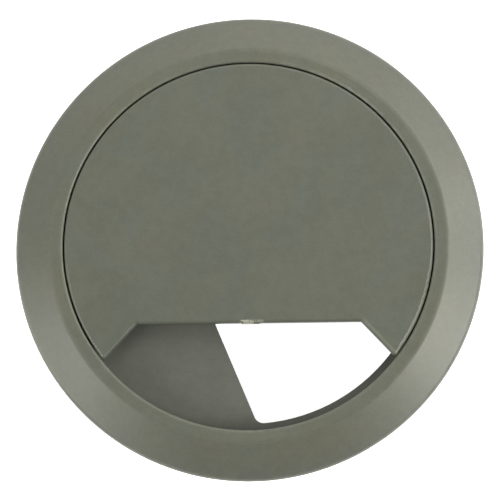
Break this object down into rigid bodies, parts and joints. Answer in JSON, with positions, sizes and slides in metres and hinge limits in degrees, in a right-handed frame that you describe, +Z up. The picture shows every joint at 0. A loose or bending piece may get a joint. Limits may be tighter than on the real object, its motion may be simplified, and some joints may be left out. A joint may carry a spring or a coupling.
{
  "type": "desk grommet",
  "caption": "Round desk grommet: a flanged liner fills a round hole in a desk top, and a flush lid with a wide cut-out turns to open or close the cable outlet.",
  "frame": {"origin": "on the grommet's axis, in the plane of the flange's underside, which is the desk's surface", "axes": "+Z up out of the desk along the axis, -Y towards the middle of the lid's cut-out at rest"},
  "size_m": [0.09, 0.09, 0.0241],
  "materials": {
    "liner_plastic": "fine moulded grain",
    "lid_plastic": "smooth satin"
  },
  "bodies": {
    "liner": {"liner": "liner_plastic"},
    "lid": {"lid": "lid_plastic"}
  },
  "joints": [
    {"name": "lid_turn", "type": "hinge", "parent": "liner", "child": "lid", "pos_m": [0, 0, 0], "axis": [0, 0, 1], "continuous": true}
  ]
}
